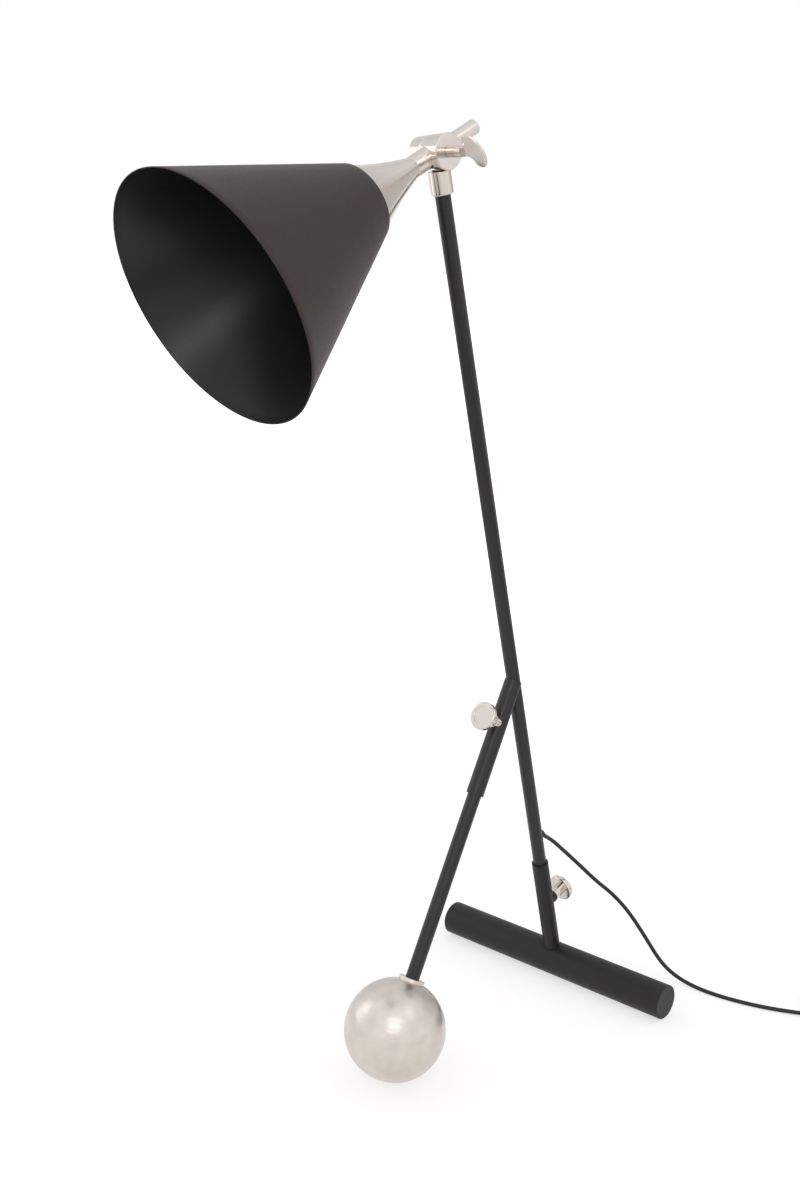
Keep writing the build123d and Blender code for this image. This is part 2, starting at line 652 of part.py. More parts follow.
def holder_nipple():
    """Hollow threaded nipple from the neck's end wall to the lampholder."""
    bottom = HOLDER_TOP + HOLDER_NIPPLE_DEPTH
    return SHADE * tube(NIPPLE_DIAMETER / 2, NIPPLE_BORE / 2, NIPPLE_TOP, bottom)


def lampholder():
    """Holder with a tapered cap and a deep round well for the bulb's cap."""
    mouth = HOLDER_TOP + HOLDER_LENGTH
    holder = turned([
        (0, HOLDER_TOP),
        (HOLDER_CAP_DIAMETER / 2, HOLDER_TOP),
        (HOLDER_DIAMETER / 2, HOLDER_TOP + HOLDER_CAP_LENGTH),
        (HOLDER_DIAMETER / 2, mouth),
        (0, mouth),
    ])
    holder = fillet(top_edges(holder), HOLDER_EDGE)
    holder -= rod(NIPPLE_DIAMETER / 2 + RUNNING_FIT, HOLDER_TOP, HOLDER_TOP + HOLDER_NIPPLE_DEPTH)
    return SHADE * (holder - rod(SOCKET_OUTER_RADIUS, HOLDER_TOP + HOLDER_FLOOR_AT, mouth))


def socket_shell():
    """Brass shell that takes the bulb's thread."""
    return SHADE * tube(SOCKET_OUTER_RADIUS, SOCKET_DIAMETER / 2, SOCKET_MOUTH - SOCKET_LENGTH, SOCKET_MOUTH)


def socket_contact():
    floor = HOLDER_TOP + HOLDER_FLOOR_AT
    return SHADE * rod(CONTACT_DIAMETER / 2, floor, floor + CONTACT_HEIGHT)


def corner_radii(points):
    """Largest tangent arcs at the corners of a cord's route, from its runs and turns."""
    radii = []
    for before, corner, after in zip(points, points[1:], points[2:]):
        run_in, run_out = corner - before, after - corner
        turn = math.radians(run_in.get_angle(run_out))
        radii.append(ROUND_SHARE * min(run_in.length, run_out.length) / math.tan(turn / 2))
    return radii


def cord():
    """Free stretch of the cord, from inside the gland to the coil."""
    radii = corner_radii(route)
    path = FilletPolyline(*route, radius=radii)
    stretch = sweep(Plane(route[0], z_dir=route[1] - route[0]) * Circle(CORD_DIAMETER / 2), path=path)
    print("cord arc radii", [round(r, 1) for r in radii])
    section = math.pi * CORD_DIAMETER**2 / 4
    print("cord length", round(path.length, 1), "volume over section", round(stretch.volume / section, 1))
    return stretch


def ease(share):
    """Smooth step from 0 to 1."""
    share = min(max(share, 0.0), 1.0)
    return share * share * (3 - 2 * share)


def coil_point(turn):
    """Centre line of the coil: inwards on the floor layer, a climb, outwards on top, down to the plug."""
    inner = COIL_RADIUS - COIL_PITCH * COIL_TURNS_IN
    back = (turn - COIL_TURNS_IN) * 2
    if back <= 0:
        radius = COIL_RADIUS - COIL_PITCH * turn
    elif back < 1:
        radius = inner + COIL_PITCH / 2 * (back * back - back)
    else:
        radius = inner + COIL_PITCH * (turn - COIL_TURNS_IN - 0.5)
    left = COIL_TURNS - turn
    radius += COIL_TAIL_SPREAD * ease(1 - left * 2)
    fall = COIL_Z + COIL_PITCH - PLUG_HEIGHT / 2
    height = COIL_Z + COIL_PITCH * ease(back) - fall * ease(1 - left * 4)
    angle = 2 * math.pi * turn
    return Vector(radius * math.sin(angle), -radius * math.cos(angle), height)


def coil_heading(turn):
    step = 1e-5
    return (coil_point(turn + step) - coil_point(turn - step)).normalized()


def planar(vector):
    """The direction of a vector seen from above."""
    return Vector(vector.X, vector.Y, 0).normalized()


def coil_frame():
    """Frame in which the coil's own start lies at the end of the cord's route, with the same heading."""
    heading = planar(route[-1] - route[-2])
    start_way = coil_heading(0)
    turn = math.degrees(math.atan2(heading.Y, heading.X) - math.atan2(start_way.Y, start_way.X))
    lead = (coil_point(0) - start_way * CORD_DIAMETER).rotate(Axis.Z, turn)
    centre = route[-1] - lead
    return Plane(origin=(centre.X, centre.Y, 0), x_dir=X.rotate(Axis.Z, turn), z_dir=(0, 0, 1))


def plug_frame():
    tail_way = coil_heading(COIL_TURNS)
    tail_end = coil_point(COIL_TURNS) + tail_way * CORD_DIAMETER
    end = COIL.from_local_coords(tail_end)
    heading = planar(COIL.from_local_coords(tail_end + tail_way) - end)
    return Plane(origin=end, x_dir=heading, z_dir=(0, 0, 1))


COIL = coil_frame()
PLUG = plug_frame()


def biarc(start, start_way, end, end_way):
    """Two arcs that join two points with given directions."""
    chord = end - start
    ways = start_way + end_way
    spread = 2 * (1 - start_way.dot(end_way))
    reach = chord.dot(ways)
    length = (-reach + math.sqrt(reach * reach + spread * chord.dot(chord))) / spread
    middle = (start + end + (start_way - end_way) * length) * 0.5
    middle_way = (end - end_way * length) - (start + start_way * length)
    return [TangentArc(start, middle, tangent=start_way), TangentArc(middle, end, tangent=middle_way)]


def coil_gap():
    """Least clear distance between parts of the coil that are over half a turn apart."""
    samples = 48
    points = [coil_point(i / samples) for i in range(round(COIL_TURNS * samples) + 1)]
    least = min(
        (points[i] - points[j]).length
        for i in range(len(points))
        for j in range(i + samples // 2, len(points))
    )
    return least - CORD_DIAMETER


def cord_coil():
    """Put-away length of the cord: one tube of loops in two layers."""
    count = round(COIL_TURNS * COIL_STEPS_PER_TURN)
    turns = [COIL_TURNS * i / count for i in range(count + 1)]
    first, last = coil_point(turns[0]), coil_point(turns[-1])
    first_way, last_way = coil_heading(turns[0]), coil_heading(turns[-1])
    edges = [Line(first - first_way * CORD_DIAMETER, first)]
    for here, there in zip(turns, turns[1:]):
        edges += biarc(coil_point(here), coil_heading(here), coil_point(there), coil_heading(there))
    edges.append(Line(last, last + last_way * CORD_DIAMETER))
    path = Wire(edges)
    loops = sweep(Plane(path @ 0, z_dir=first_way) * Circle(CORD_DIAMETER / 2), path=path)
    print("coil length", round(path.length, 1), "least gap", round(coil_gap(), 2))
    return COIL * loops


def cord_tie():
    """Strap closed round one side of the coil."""
    inner = COIL_RADIUS - COIL_PITCH * (COIL_TURNS_IN + 0.25) - CORD_DIAMETER / 2 - TIE_SPARE
    outer = COIL_RADIUS + CORD_DIAMETER / 2 + TIE_SPARE
    height = COIL_PITCH + CORD_DIAMETER + 2 * COIL_LIFT
    band = RectangleRounded(outer - inner + 2 * TIE_THICKNESS, height, TIE_THICKNESS * 2)
    band -= RectangleRounded(outer - inner, height - 2 * TIE_THICKNESS, TIE_THICKNESS)
    band = Plane.XZ * Pos((outer + inner) / 2, height / 2) * band
    return COIL * (Rot(0, 0, TIE_AT) * extrude(band, TIE_WIDTH / 2, both=True))


def plug_body():
    """Flat two-pin plug with a tapered strain relief."""
    relief = Rot(0, 90, 0) * Cone(
        CORD_DIAMETER / 2 + TIE_THICKNESS, RELIEF_DIAMETER / 2, RELIEF_LENGTH,
        align=(Align.CENTER, Align.CENTER, Align.MIN)
    )
    half, neck = PLUG_WIDTH / 2, PLUG_NECK_WIDTH / 2
    back, front = RELIEF_LENGTH, RELIEF_LENGTH + PLUG_LENGTH
    outline = make_face(Polyline(
        (back, -neck), (back + PLUG_SHOULDER, -half), (front, -half),
        (front, half), (back + PLUG_SHOULDER, half), (back, neck), close=True
    ))
    block = extrude(outline, PLUG_HEIGHT / 2, both=True)
    block = fillet(block.edges(), PLUG_EDGE)
    return PLUG * (relief + block - plug_pin_set())


def plug_pin_set():
    root = RELIEF_LENGTH + PLUG_LENGTH - PIN_ROOT
    pin = Rot(0, 90, 0) * rod(PIN_DIAMETER / 2, root, root + PIN_ROOT + PIN_LENGTH)
    return [Pos(0, side * PIN_SPACING / 2, 0) * pin for side in (-1, 1)]


def plug_pins():
    return [PLUG * pin for pin in plug_pin_set()]


nodes = {
    "foot_bar": foot_bar(),
    "foot_pads": foot_pads(),
    "lower_sleeve": lower_sleeve(),
    "lower_sleeve_boss": sleeve_boss(LOWER_SCREW, POST * rod(SLEEVE_RADIUS, 0, JOINT_AT)),
    "lower_thumbscrew": LOWER_SCREW * thumbscrew(),
    "post_tube": post_tube(),
    "post_ferrule": post_ferrule(),
    "leg_sleeve": leg_sleeve(),
    "leg_sleeve_boss": sleeve_boss(LEG_SCREW, LEG * rod(SLEEVE_RADIUS, 0, LEG_REACH)),
    "leg_thumbscrew": LEG_SCREW * thumbscrew(),
    "leg_rod": leg_rod(),
    "leg_rod_plug": leg_rod_plug(),
    "leg_rod_insert": leg_rod_insert(),
    "leg_stud": leg_stud(),
    "ball": ball(),
    "ball_bush": ball_bush(),
    "ball_collar": ball_collar(),
    "tilt_core": tilt_core(),
    "swivel_stud": swivel_stud(),
    "swivel_washer": swivel_washer(),
    "stud_washer": stud_washer(),
    "stud_nut": stud_nut(),
    "joint_drum": joint_drum(),
    "rear_cap": rear_cap(),
    "friction_washer": friction_washer(),
    "wing_screw": wing_screw(),
    "tail_rod": tail_rod(),
    "neck_tube": neck_tube(),
    "shade_flare": shade_flare(),
    "shade_cone": shade_cone(),
    "holder_nipple": holder_nipple(),
    "lampholder": lampholder(),
    "socket_shell": socket_shell(),
    "socket_contact": socket_contact(),
    "cord_gland": cord_gland(),
    "inner_cable": inner_cable(),
    "cord": cord(),
    "cord_coil": cord_coil(),
    "cord_tie": cord_tie(),
    "plug_body": plug_body(),
    "plug_pins": plug_pins(),
}

os.makedirs("parts", exist_ok=True)
for name, shape in nodes.items():
    piece = Compound(children=shape) if isinstance(shape, list) else shape
    export_step(piece, f"parts/{name}.step")
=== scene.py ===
"""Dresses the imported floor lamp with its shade, socket, cord and finishes, and sets a studio round it."""

import json
import math

import bmesh
import bpy
from bpy.props import FloatProperty, FloatVectorProperty, IntProperty, PointerProperty, StringProperty
from bpy.types import Operator, Panel, PropertyGroup
from mathutils import Matrix, Vector


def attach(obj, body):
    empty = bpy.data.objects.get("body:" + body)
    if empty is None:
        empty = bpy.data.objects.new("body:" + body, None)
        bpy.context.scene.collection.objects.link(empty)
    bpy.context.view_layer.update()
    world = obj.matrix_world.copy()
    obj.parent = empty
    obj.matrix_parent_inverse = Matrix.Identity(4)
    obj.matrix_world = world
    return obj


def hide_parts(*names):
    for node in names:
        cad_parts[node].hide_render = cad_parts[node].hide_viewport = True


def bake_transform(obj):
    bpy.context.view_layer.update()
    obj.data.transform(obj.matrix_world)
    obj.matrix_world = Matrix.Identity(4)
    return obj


bl_info = {
    "name": "Arm floor lamp",
    "version": (1, 1, 0),
    "blender": (4, 5, 0),
    "location": "View3D > Sidebar > Lamp",
    "description": "Dresses the floor lamp's frame with its shade, cord, finishes and studio",
    "category": "Object",
}

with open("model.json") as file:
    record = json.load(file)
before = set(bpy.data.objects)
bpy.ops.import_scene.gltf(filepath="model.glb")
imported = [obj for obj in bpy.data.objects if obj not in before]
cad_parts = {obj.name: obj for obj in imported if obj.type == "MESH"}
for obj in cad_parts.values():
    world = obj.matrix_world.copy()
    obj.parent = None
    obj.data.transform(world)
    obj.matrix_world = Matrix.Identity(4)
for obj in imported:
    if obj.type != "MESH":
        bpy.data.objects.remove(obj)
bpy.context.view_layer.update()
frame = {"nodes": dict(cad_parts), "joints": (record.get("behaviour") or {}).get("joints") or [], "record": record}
MM = 0.001
WHITE = "#FFFFFF"

# Noise values lie mostly between these two
NOISE_LOW = 0.3
NOISE_HIGH = 0.7

# A Mix node names several sockets alike, so those of its colours go by number
MIX_COLOUR_A = 6
MIX_COLOUR_B = 7
MIX_COLOUR_RESULT = 2

# Route of the cord's free stretch, from inside the gland to the start of the coil
CORD_ROUTE = [
    (0.0, 0.28944, 0.2616),
    (0.0, 0.32061, 0.2436),
    (0.006, 0.351, 0.214),
    (0.017, 0.383, 0.18),
    (0.032, 0.409, 0.148),
    (0.05, 0.43, 0.124),
    (0.074, 0.442, 0.097),
    (0.104, 0.446, 0.062),
    (0.13, 0.448, 0.03),
    (0.152, 0.449, 0.014),
    (0.184, 0.4515, 0.0031),
    (0.234, 0.45, 0.0031),
    (0.3, 0.4646, 0.0031),
    (0.362, 0.4896, 0.0043),
    (0.405, 0.5154, 0.0043),
]

# Turns in which the coil climbs to its upper layer, swings out at its end and drops to the plug
CLIMB_TURNS = 0.5
SWING_TURNS = 0.5
DROP_TURNS = 0.25

# The paper lies this far under the lamp, so that no face of the lamp lies in it
FLOOR_GAP = 0.2 * MM
# Share of the dull ring's width over which the paper is dullest
RING_CORE = 0.3
# Cosines of the angles at which the mirrored wall starts and ends its fade, and the screen too
WALL_FADE = (-0.8, 0.2)
SCREEN_FADE = (0.66, 0.92)
# Soft boxes: turn from the camera's side and lift in degrees, distance, width and height in metres
SOFT_BOXES = {
    "front_box": {"turn": -3, "lift": 30, "distance": 3.0, "size": (0.8, 1.3), "brightness": 1.9},
    "left_box": {"turn": -105, "lift": 14, "distance": 2.6, "size": (1.1, 1.8), "brightness": 0.6},
    "right_box": {"turn": 58, "lift": 48, "distance": 2.6, "size": (1.0, 1.0), "brightness": 0.5},
}


def metres(name, description, default):
    """A length that a user may change."""
    return FloatProperty(name=name, description=description, default=default, unit="LENGTH", precision=5)


def number(name, description, default, least):
    """A number of facets, rows or points that a user may change."""
    return IntProperty(name=name, description=description, default=default, min=least)


def light_level(name, description, default):
    """A brightness that a user may change, where 1 is white."""
    return FloatProperty(name=name, description=description, default=default, min=0.0)


def paint(name, description, default):
    """A colour that a user may change, as an sRGB hex value."""
    return StringProperty(name=name, description=description, default=default)


class LampShade(PropertyGroup):
    start: metres("Cone start", "From the tilt joint to the cone's narrow end", 0.141)
    start_diameter: metres("Start diameter", "Outside of the cone's narrow end", 0.1006)
    mouth: metres("Mouth", "From the tilt joint to the rim", 0.3823)
    mouth_diameter: metres("Mouth diameter", "Outside of the rim", 0.3164)
    wall: metres("Wall", "Thickness of the spun sheet", 0.0012)
    segments: number("Segments", "Facets round the cone", 192, 24)
    rows: number("Rows", "Facets from the narrow end to the rim", 24, 1)
    rim_rows: number("Rim rows", "Facets round the rim's edge", 6, 2)
    outside: paint("Outside", "Charcoal coat of the outside", "#392D2D")
    lining: paint("Lining", "Black coat of the inside", "#1A1919")


class LampSocket(PropertyGroup):
    mouth: metres("Mouth", "From the tilt joint to the shell's open end", 0.128)
    depth: metres("Depth", "Length of the threaded shell", 0.027)
    crest: metres("Crest radius", "Radius over the thread's crests", 0.01395)
    rise: metres("Thread rise", "From root to crest of the rolled thread", 0.0009)
    pitch: metres("Thread pitch", "Seven turns to the inch", 0.00363)
    wall: metres("Wall", "Thickness of the brass sheet", 0.0004)
    segments: number("Segments", "Facets round the shell", 64, 24)
    rows: number("Rows", "Rows of facets in each turn of the thread", 10, 6)
    brass: paint("Brass", "Shell, contact and plug pins", "#C9A765")
    resin: paint("Resin", "Black moulding of the holder", "#1E1D1D")


class LampCord(PropertyGroup):
    diameter: metres("Diameter", "Outside of the sheath", 0.0062)
    length: metres("Length", "Whole cord from the gland to the plug", 2.0)
    coil_radius: metres("Coil radius", "Outermost turn", 0.046)
    coil_pitch: metres("Coil pitch", "From one turn to the next", 0.0069)
    turns_in: FloatProperty(name="Turns in", description="Turns of the lower layer", default=3.0)
    turns_out: FloatProperty(name="Turns out", description="Turns of the upper layer", default=2.75)
    tail_spread: metres("Tail spread", "How far the coil's end swings out", 0.009)
    tail_height: metres("Tail height", "Height at which the cord enters the plug", 0.00685)
    points: number("Points", "Route points in each turn", 16, 12)
    sheath: paint("Sheath", "Black PVC of the cord", "#2B2A2A")
    plug: paint("Plug", "Black plastic of the plug, tie and small fittings", "#222121")


class LampFinish(PropertyGroup):
    tube_coat: paint("Tube coat", "Black powder coat of the tubes", "#272425")
    bar_coat: paint("Bar coat", "Black powder coat of the foot bar", "#292727")
    nickel: paint("Nickel", "Satin nickel plate", "#DCD3CC")
    steel: paint("Steel", "Zinc-plated steel", "#B9B7B4")
    nylon: paint("Nylon", "Natural nylon washer", "#DAD7CF")
    rubber: paint("Rubber", "Black rubber of the pads", "#262524")


class LampStage(PropertyGroup):
    eye: FloatVectorProperty(
        name="Camera",
        description="Where the camera stands",
        default=(1.17794, -1.349198, 1.15248),
        subtype="TRANSLATION",
    )
    forward: FloatVectorProperty(
        name="Looks along",
        description="The camera's direction",
        default=(-0.6435, 0.7227, -0.2519),
        subtype="DIRECTION",
    )
    lens: FloatProperty(
        name="Lens",
        description="Focal length in millimetres",
        default=42.34,
        unit="CAMERA",
    )
    sensor: FloatProperty(
        name="Sensor",
        description="Width of the camera's sensor in millimetres",
        default=36.0,
        unit="CAMERA",
    )
    centre: FloatVectorProperty(
        name="Light centre",
        description="The point that the soft boxes face",
        default=(0.0, 0.1, 0.65),
        subtype="TRANSLATION",
    )
    fill: light_level("Fill", "Light on the lamp from all round", 0.8)
    room: light_level("Room", "Room that metal mirrors on the camera's side", 1.0)
    back: light_level("Back", "Wall that metal mirrors behind the lamp", 0.8)
    screen: light_level("Screen", "How much a screen behind the lamp darkens that wall", 0.2)
    screen_turn: FloatProperty(
        name="Screen turn",
        description="Angle from the camera's side round to the screen",
        default=math.radians(140),
        subtype="ANGLE",
    )
    floor: paint("Floor", "White paper sweep", "#B9B8B6")
    glow: light_level("Floor glow", "White that the paper adds near the lamp", 0.62)
    bounce: light_level("Bounce", "Light that the paper adds from below", 0.35)
    mirror: light_level("Mirrored glow", "White that the paper adds in reflections", 0.55)
    dull_glow: light_level("Dull glow", "White that the paper adds in its dull ring", 0.1)
    dull: metres("Dull ring", "Distance at which the mirrored paper is dullest", 2.2)
    dull_width: metres("Dull width", "How far the dull ring fades to either side", 1.4)
    glow_start: metres("Glow start", "Distance at which the paper starts to fade to pure white", 0.9)
    glow_end: metres("Glow end", "Distance at which the paper is pure white", 2.4)
    floor_size: metres("Floor size", "Side of the paper", 60.0)


def linear(colour, level=1.0):
    """Linear RGBA of an sRGB hex colour, made lighter or darker by a level."""
    values = [int(colour[i : i + 2], 16) / 255 for i in (1, 3, 5)]
    lit = [v / 12.92 if v <= 0.04045 else ((v + 0.055) / 1.055) ** 2.4 for v in values]
    return [min(v * level, 1.0) for v in lit] + [1.0]


def ease(share):
    """Smooth step from 0 to 1, level at both ends."""
    share = min(max(share, 0.0), 1.0)
    return share * share * (3 - 2 * share)


def add_node(tree, kind, inputs=None, **settings):
    """Adds a shader node, sets its options, and links or fills its inputs."""
    node = tree.nodes.new("ShaderNode" + kind)
    for name, value in settings.items():
        setattr(node, name, value)
    for name, value in (inputs or {}).items():
        if isinstance(value, bpy.types.NodeSocket):
            tree.links.new(value, node.inputs[name])
        else:
            node.inputs[name].default_value = value
    return node


def start_material(name):
    """A new material, its tree, and the piece's own coordinates in metres."""
    material = bpy.data.materials.new(name)
    material.use_nodes = True
    place = add_node(material.node_tree, "TexCoord").outputs["Object"]
    return material, material.node_tree, place


def lay_finish(tree, place, colour, grain, rough, depth, cloud, contrast, constants):
    """Clouds the colour, and lets one grain drive the gloss and the relief.

    rough holds the least and greatest roughness, depth the relief and cloud the size of the
    clouds in metres, contrast how far the colour strays, constants the shader's fixed values.
    """
    shader = tree.nodes["Principled BSDF"]
    spread = {"From Min": NOISE_LOW, "From Max": NOISE_HIGH}
    clouds = add_node(tree, "TexNoise", {"Vector": place, "Scale": 1 / cloud, "Detail": 3.0}).outputs["Fac"]
    tones = {
        "Factor": add_node(tree, "MapRange", {"Value": clouds, **spread}).outputs["Result"],
        MIX_COLOUR_A: linear(colour, 1 - contrast),
        MIX_COLOUR_B: linear(colour, 1 + contrast),
    }
    gloss = {"Value": grain, **spread, "To Min": rough[0], "To Max": rough[1]}
    relief = {"Height": grain, "Strength": 1.0, "Distance": depth}
    wired = {
        "Base Color": add_node(tree, "Mix", tones, data_type="RGBA").outputs[MIX_COLOUR_RESULT],
        "Roughness": add_node(tree, "MapRange", gloss).outputs["Result"],
        "Normal": add_node(tree, "Bump", relief).outputs["Normal"],
    }
    for name, socket in wired.items():
        tree.links.new(socket, shader.inputs[name])
    for name, value in constants.items():
        shader.inputs[name].default_value = value


def axis_place(tree, place, origin, axis):
    """Length along an axis, the foot point on it, and the step from there out to the surface."""
    shifted = add_node(tree, "VectorMath", {0: place, 1: origin}, operation="SUBTRACT").outputs[0]
    along = add_node(tree, "VectorMath", {0: shifted, 1: axis}, operation="DOT_PRODUCT").outputs["Value"]
    foot = add_node(tree, "VectorMath", {0: axis, "Scale": along}, operation="SCALE").outputs[0]
    out = add_node(tree, "VectorMath", {0: shifted, 1: foot}, operation="SUBTRACT").outputs[0]
    return along, foot, out


def powder_coat(name, colour, rough, specular):
    """Polyester powder baked on metal: an even matt skin, with an orange peel that blurs the light."""
    material, tree, place = start_material(name)
    # The real peel is under a millimetre across, and is drawn at 2 mm so that it shows
    peel_size = 2.0 * MM
    peel = {"Vector": place, "Scale": 1 / peel_size, "Detail": 2.0}
    lay_finish(
        tree,
        place,
        colour,
        grain=add_node(tree, "TexNoise", peel).outputs["Fac"],
        rough=rough,
        depth=0.03 * MM,
        cloud=45 * MM,
        contrast=0.07,
        constants={"Specular IOR Level": specular},
    )
    return material


def brushed_nickel(name, colour, origin, axis, radius, rough):
    """Nickel plate brushed along the piece: fine bright and dull streaks run down its length."""
    material, tree, place = start_material(name)
    _, foot, out = axis_place(tree, place, origin, axis)
    way = add_node(tree, "VectorMath", {0: out}, operation="NORMALIZE").outputs[0]
    # Real brush lines are a tenth of this wide, and are drawn at 1.8 mm so that they show
    streak_width = 1.8 * MM
    streak_length = 90 * MM
    round_axis = {0: way, "Scale": radius / streak_width}
    across = add_node(tree, "VectorMath", round_axis, operation="SCALE").outputs[0]
    down_axis = {0: foot, "Scale": 1 / streak_length}
    down = add_node(tree, "VectorMath", down_axis, operation="SCALE").outputs[0]
    lines = add_node(tree, "VectorMath", {0: across, 1: down}, operation="ADD").outputs[0]
    streaks = {"Vector": lines, "Scale": 1.0, "Detail": 3.0}
    # These coordinates count streaks, so the colour's clouds are one streak in size
    lay_finish(
        tree,
        lines,
        colour,
        grain=add_node(tree, "TexNoise", streaks).outputs["Fac"],
        rough=rough,
        depth=0.003 * MM,
        cloud=1.0,
        contrast=0.05,
        constants={"Metallic": 1.0},
    )
    return material


def turned_nickel(name, colour, origin, axis):
    """Nickel plate over turned brass: fine rings about the axis, on the sides and on the faces."""
    material, tree, place = start_material(name)
    along, _, out = axis_place(tree, place, origin, axis)
    away = add_node(tree, "VectorMath", {0: out}, operation="LENGTH").outputs["Value"]
    path = add_node(tree, "Math", {0: along, 1: away}, operation="ADD").outputs[0]
    # A lathe's real feed is about 0.1 mm, and the rings are drawn at 1.4 mm so that they show
    ring_width = 1.4 * MM
    rings = {"W": path, "Scale": 1 / ring_width, "Detail": 3.0}
    lay_finish(
        tree,
        place,
        colour,
        grain=add_node(tree, "TexNoise", rings, noise_dimensions="1D").outputs["Fac"],
        rough=(0.12, 0.2),
        depth=0.002 * MM,
        cloud=14 * MM,
        contrast=0.05,
        constants={"Metallic": 1.0},
    )
    return material


def buffed_nickel(name, colour):
    """Nickel plate buffed by hand on a ball: cloudy patches of more and less gloss, with faint scuffs."""
    material, tree, place = start_material(name)
    patch_size = 24 * MM
    scuff_size = 20 * MM
    scuff_stretch = (1.0, 1.0, 2.5)
    scuff_share = 0.35
    stretched = add_node(tree, "Mapping", {"Vector": place, "Scale": scuff_stretch}).outputs["Vector"]
    patches = {"Vector": place, "Scale": 1 / patch_size, "Detail": 1.0}
    scuffs = {"Vector": stretched, "Scale": 1 / scuff_size, "Detail": 1.0}
    buffing = {
        "Factor": scuff_share,
        "A": add_node(tree, "TexNoise", patches).outputs["Fac"],
        "B": add_node(tree, "TexNoise", scuffs).outputs["Fac"],
    }
    lay_finish(
        tree,
        place,
        colour,
        grain=add_node(tree, "Mix", buffing).outputs["Result"],
        rough=(0.27, 0.4),
        depth=1.8 * MM,
        cloud=30 * MM,
        contrast=0.08,
        constants={"Metallic": 1.0},
    )
    return material


def machined(name, colour, rough):
    """Small turned or pressed metal pieces: an even dull shine with a fine tool grain."""
    material, tree, place = start_material(name)
    # Real tool marks are finer, and are drawn at 1 mm so that they show
    mark_size = 1.0 * MM
    marks = {"Vector": place, "Scale": 1 / mark_size, "Detail": 3.0}
    lay_finish(
        tree,
        place,
        colour,
        grain=add_node(tree, "TexNoise", marks).outputs["Fac"],
        rough=rough,
        depth=0.01 * MM,
        cloud=8 * MM,
        contrast=0.08,
        constants={"Metallic": 1.0},
    )
    return material


def moulded(name, colour, rough, ior, grain_size=1.0 * MM):
    """Moulded or extruded plastic and rubber: the mould's fine spark grain, with a low soft shine."""
    material, tree, place = start_material(name)
    # Real spark grain is a few tenths of a millimetre, and is drawn coarser so that it shows
    spark = {"Vector": place, "Scale": 1 / grain_size, "Detail": 3.0}
    lay_finish(
        tree,
        place,
        colour,
        grain=add_node(tree, "TexNoise", spark).outputs["Fac"],
        rough=rough,
        depth=0.02 * MM,
        cloud=15 * MM,
        contrast=0.08,
        constants={"IOR": ior, "Specular IOR Level": 0.3},
    )
    return material


def dress(material, *names):
    """Gives a material to whole CAD nodes."""
    for name in names:
        mesh = frame["nodes"][name].data
        mesh.materials.clear()
        mesh.materials.append(material)


def joint_axis(name):
    """A joint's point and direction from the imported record."""
    joint = next(j for j in frame["joints"] if j["name"] == name)
    return Vector(joint["pos_m"]), Vector(joint["axis"]).normalized()


def shade_axis():
    """The tilt joint's point, and the direction in which the shade shines."""
    mount = next(m for m in frame["record"]["mounts"] if m["name"] == "bulb_socket")
    return joint_axis("shade_tilt")[0], Vector(mount["axis"]).normalized()


def new_object(name, data):
    """A new object in the scene, at the origin."""
    piece = bpy.data.objects.new(name, data)
    bpy.context.scene.collection.objects.link(piece)
    return piece


def lathe(name, profile_at, origin, axis, segments, materials):
    """Turns a closed profile about an axis; its corners are (radius, length, material index)."""
    mesh = bpy.data.meshes.new(name)
    shape = bmesh.new()
    turn = axis.to_track_quat("Z", "Y").to_matrix()
    rings = []
    for step in range(segments):
        angle = 2 * math.pi * step / segments
        way = Vector((math.cos(angle), math.sin(angle), 0))
        places = [origin + turn @ (way * r + Vector((0, 0, t))) for r, t, _ in profile_at(angle)]
        rings.append([shape.verts.new(place) for place in places])
    indices = [index for _, _, index in profile_at(0)]
    for here, there in zip(rings, rings[1:] + rings[:1]):
        for i, index in enumerate(indices):
            j = (i + 1) % len(indices)
            face = shape.faces.new((here[i], there[i], there[j], here[j]))
            face.material_index = index
            face.smooth = True
    bmesh.ops.recalc_face_normals(shape, faces=shape.faces)
    shape.to_mesh(mesh)
    shape.free()
    for material in materials:
        mesh.materials.append(material)
    return new_object(name, mesh)


class LAMP_OT_shade(Operator):
    """Spins the cone with its rounded rim, charcoal outside and black inside"""

    bl_idname = "lamp.shade"
    bl_label = "Build the shade"

    def execute(self, context):
        s = context.scene.lamp_shade
        coats = [
            powder_coat("Charcoal powder-coated aluminium", s.outside, rough=(0.4, 0.5), specular=0.27),
            powder_coat("Black powder-coated lining", s.lining, rough=(0.28, 0.36), specular=0.41),
        ]
        outside = 0
        lining = 1
        slope = (s.mouth_diameter - s.start_diameter) / 2 / (s.mouth - s.start)
        wall = s.wall * math.hypot(1, slope)
        rim_at = s.mouth - s.wall / 2
        outer = []
        inner = []
        for i in range(s.rows + 1):
            t = s.start + (rim_at - s.start) * i / s.rows
            radius = s.start_diameter / 2 + (t - s.start) * slope
            outer.append((radius, t, outside))
            inner.append((radius - wall, t, lining))
        rim_middle = outer[-1][0] - wall / 2
        rim = []
        for i in range(1, s.rim_rows):
            angle = math.pi * i / s.rim_rows
            radius = rim_middle + math.cos(angle) * wall / 2
            rim.append((radius, rim_at + math.sin(angle) * s.wall / 2, outside))
        profile = outer + rim + inner[::-1]
        shade = lathe("shade_shell", lambda angle: profile, *shade_axis(), s.segments, coats)
        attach(shade, "head")
        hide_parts("shade_cone")
        return {"FINISHED"}


